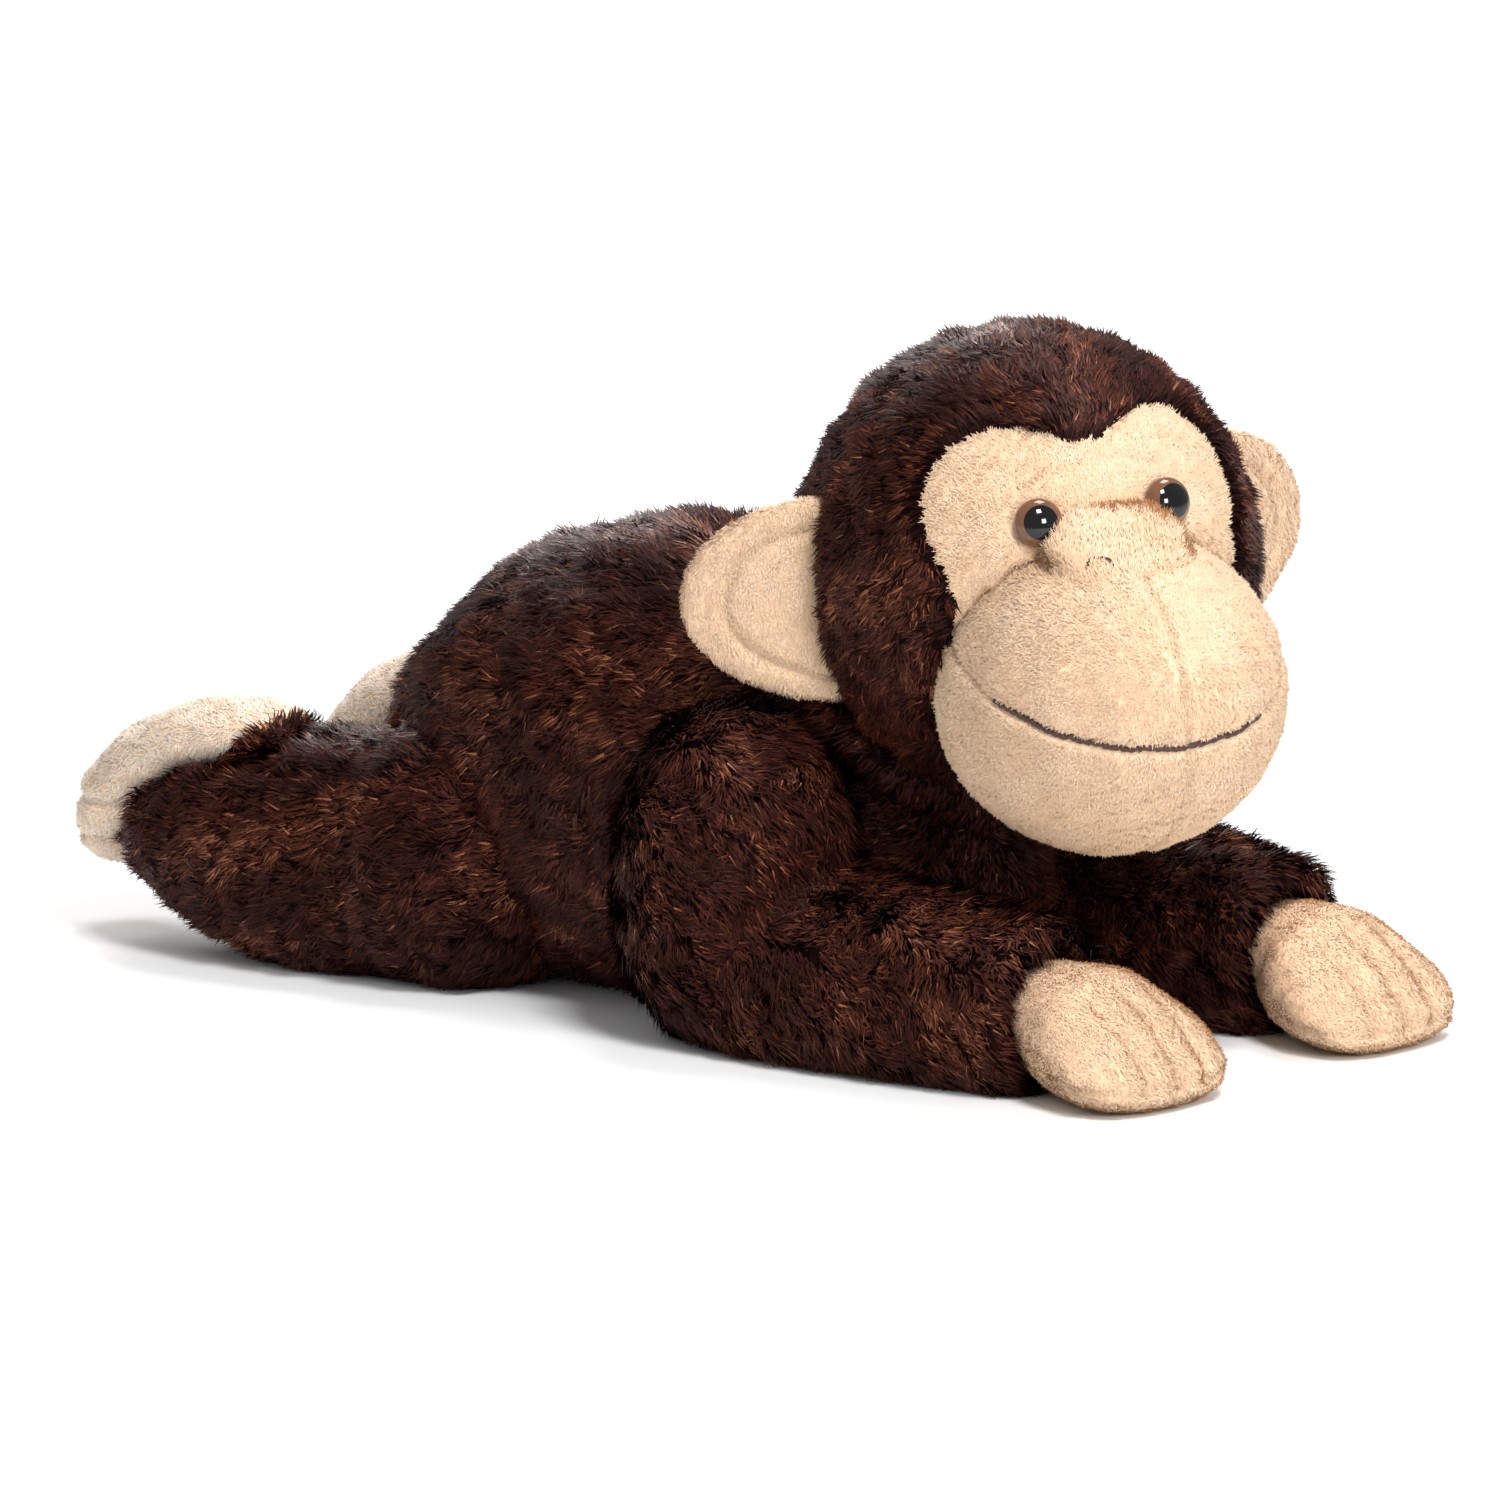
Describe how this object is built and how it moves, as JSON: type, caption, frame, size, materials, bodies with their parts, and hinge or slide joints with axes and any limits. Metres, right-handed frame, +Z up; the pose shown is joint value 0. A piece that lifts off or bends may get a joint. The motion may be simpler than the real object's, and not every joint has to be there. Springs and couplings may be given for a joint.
{
  "type": "stuffed monkey",
  "caption": "Floppy stuffed monkey lying on its belly with its head up, in long brown pile with cream face, ears, hands and feet.",
  "frame": {"origin": "on the floor under the belly, between the arms and the legs", "axes": "+Z up; +Y towards the feet, so the toy looks along -Y; +X is its left side"},
  "size_m": [0.1634, 0.3477, 0.1749],
  "materials": {
    "fur": "long silky pile, dark brown with lighter tips",
    "cream": "short soft velour pile",
    "cream_thread": "sewing thread sunk in the pile",
    "thread": "embroidery thread",
    "filling": "polyester fibre filling",
    "pellets": "cloth bag of plastic beads",
    "eye": "polished, black on brown",
    "washer": "moulded"
  },
  "bodies": {
    "torso": {"torso_back_panel_left": "fur", "torso_back_panel_right": "fur", "torso_belly_panel": "fur", "torso_stuffing": "filling", "belly_pellet_bag": "pellets"},
    "neck": {"neck_collar": "fur"},
    "head": {"eye_left": "eye", "eye_right": "eye", "eye_lock_washer_left": "washer", "eye_lock_washer_right": "washer", "head_panel_left": "fur", "head_panel_right": "fur", "face_panel": "cream", "muzzle_panel_left": "cream", "muzzle_panel_right": "cream", "chin_panel": "cream", "nose_pad": "cream", "mouth_thread": "thread", "head_stuffing": "filling", "muzzle_stuffing": "filling"},
    "ear_left": {"ear_front_panel_left": "cream", "ear_back_panel_left": "cream"},
    "arm_left": {"arm_sleeve_left": "fur", "arm_stuffing_left": "filling"},
    "hand_left": {"hand_back_panel_left": "cream", "hand_palm_panel_left": "cream", "hand_pellet_bag_left": "pellets", "hand_finger_stitch_left_1": "cream_thread", "hand_finger_stitch_left_2": "cream_thread", "hand_finger_stitch_left_3": "cream_thread"},
    "leg_left": {"leg_sleeve_left": "fur", "leg_stuffing_left": "filling"},
    "foot_left": {"foot_sole_panel_left": "cream", "foot_instep_panel_left": "fur", "foot_pellet_bag_left": "pellets", "foot_toe_stitch_left_1": "cream_thread", "foot_toe_stitch_left_2": "cream_thread"},
    "ear_right": {"ear_front_panel_right": "cream", "ear_back_panel_right": "cream"},
    "arm_right": {"arm_sleeve_right": "fur", "arm_stuffing_right": "filling"},
    "hand_right": {"hand_back_panel_right": "cream", "hand_palm_panel_right": "cream", "hand_pellet_bag_right": "pellets", "hand_finger_stitch_right_1": "cream_thread", "hand_finger_stitch_right_2": "cream_thread", "hand_finger_stitch_right_3": "cream_thread"},
    "leg_right": {"leg_sleeve_right": "fur", "leg_stuffing_right": "filling"},
    "foot_right": {"foot_sole_panel_right": "cream", "foot_instep_panel_right": "fur", "foot_pellet_bag_right": "pellets", "foot_toe_stitch_right_1": "cream_thread", "foot_toe_stitch_right_2": "cream_thread"}
  },
  "joints": [
    {"name": "head_turn", "type": "hinge", "parent": "torso", "child": "neck", "pos_m": [0, -0.089, 0.119], "axis": [0, 0, 1], "range_deg": [-6, 52]},
    {"name": "head_nod", "type": "hinge", "parent": "neck", "child": "head", "pos_m": [0, -0.089, 0.119], "axis": [0.8966, -0.4373, 0.0698], "range_deg": [-18, 8]},
    {"name": "ear_flex_left", "type": "hinge", "parent": "head", "child": "ear_left", "pos_m": [0.04587, -0.10581, 0.11939], "axis": [-0.0627, 0.0306, 0.9976], "range_deg": [-20, 20], "stiffness_Nm_per_rad": 0.01},
    {"name": "shoulder_swing_left", "type": "hinge", "parent": "torso", "child": "arm_left", "pos_m": [0.05, -0.038, 0.04], "axis": [0, 0, 1], "range_deg": [0, 80]},
    {"name": "wrist_flex_left", "type": "hinge", "parent": "arm_left", "child": "hand_left", "pos_m": [0.046, -0.134, 0.0185], "axis": [-1, 0, 0], "range_deg": [-12, 30]},
    {"name": "hip_swing_left", "type": "hinge", "parent": "torso", "child": "leg_left", "pos_m": [0.035, 0.062, 0.03], "axis": [0, 0, -1], "range_deg": [0, 40]},
    {"name": "ankle_flex_left", "type": "hinge", "parent": "leg_left", "child": "foot_left", "pos_m": [0.047, 0.138, 0.032], "axis": [1, 0, 0], "range_deg": [-12, 12], "stiffness_Nm_per_rad": 0.05},
    {"name": "ear_flex_right", "type": "hinge", "parent": "head", "child": "ear_right", "pos_m": [-0.04111, -0.06339, 0.11262], "axis": [-0.0627, 0.0306, 0.9976], "range_deg": [-20, 20], "stiffness_Nm_per_rad": 0.01},
    {"name": "shoulder_swing_right", "type": "hinge", "parent": "torso", "child": "arm_right", "pos_m": [-0.05, -0.038, 0.04], "axis": [0, 0, -1], "range_deg": [0, 80]},
    {"name": "wrist_flex_right", "type": "hinge", "parent": "arm_right", "child": "hand_right", "pos_m": [-0.046, -0.134, 0.0185], "axis": [-1, 0, 0], "range_deg": [-12, 30]},
    {"name": "hip_swing_right", "type": "hinge", "parent": "torso", "child": "leg_right", "pos_m": [-0.035, 0.062, 0.03], "axis": [0, 0, 1], "range_deg": [0, 40]},
    {"name": "ankle_flex_right", "type": "hinge", "parent": "leg_right", "child": "foot_right", "pos_m": [-0.047, 0.138, 0.032], "axis": [1, 0, 0], "range_deg": [-12, 12], "stiffness_Nm_per_rad": 0.05}
  ]
}
